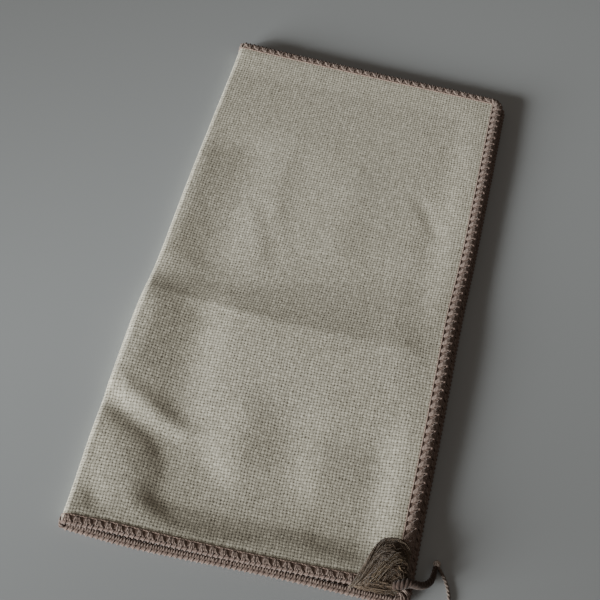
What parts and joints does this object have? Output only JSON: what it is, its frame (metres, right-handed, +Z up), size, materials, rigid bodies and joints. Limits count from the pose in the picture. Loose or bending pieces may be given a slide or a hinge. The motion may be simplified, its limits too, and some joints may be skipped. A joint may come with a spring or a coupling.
{
  "type": "folded cleaning cloth",
  "caption": "Square plain-weave cotton cleaning cloth, folded once in half and lying flat, with a thick overlocked thread border and a tuft of thread ends at one corner.",
  "frame": {"origin": "on the flat underside, under the middle of the cloth, on the surface that it lies on", "axes": "+Z up out of the upper layer, +Y along the fold, which is at -X; the free edges are at +X, with the tuft at the near right corner, +X and -Y"},
  "size_m": [0.1657, 0.3037, 0.01],
  "materials": {
    "cotton": "undyed coarse plain weave",
    "overlock_thread": "dusty mauve-brown thread, slightly shiny",
    "loose_thread": "brown loose thread"
  },
  "bodies": {
    "root": {"cloth": "cotton", "overlock_border": "overlock_thread", "thread_tuft": "loose_thread"}
  },
  "joints": []
}
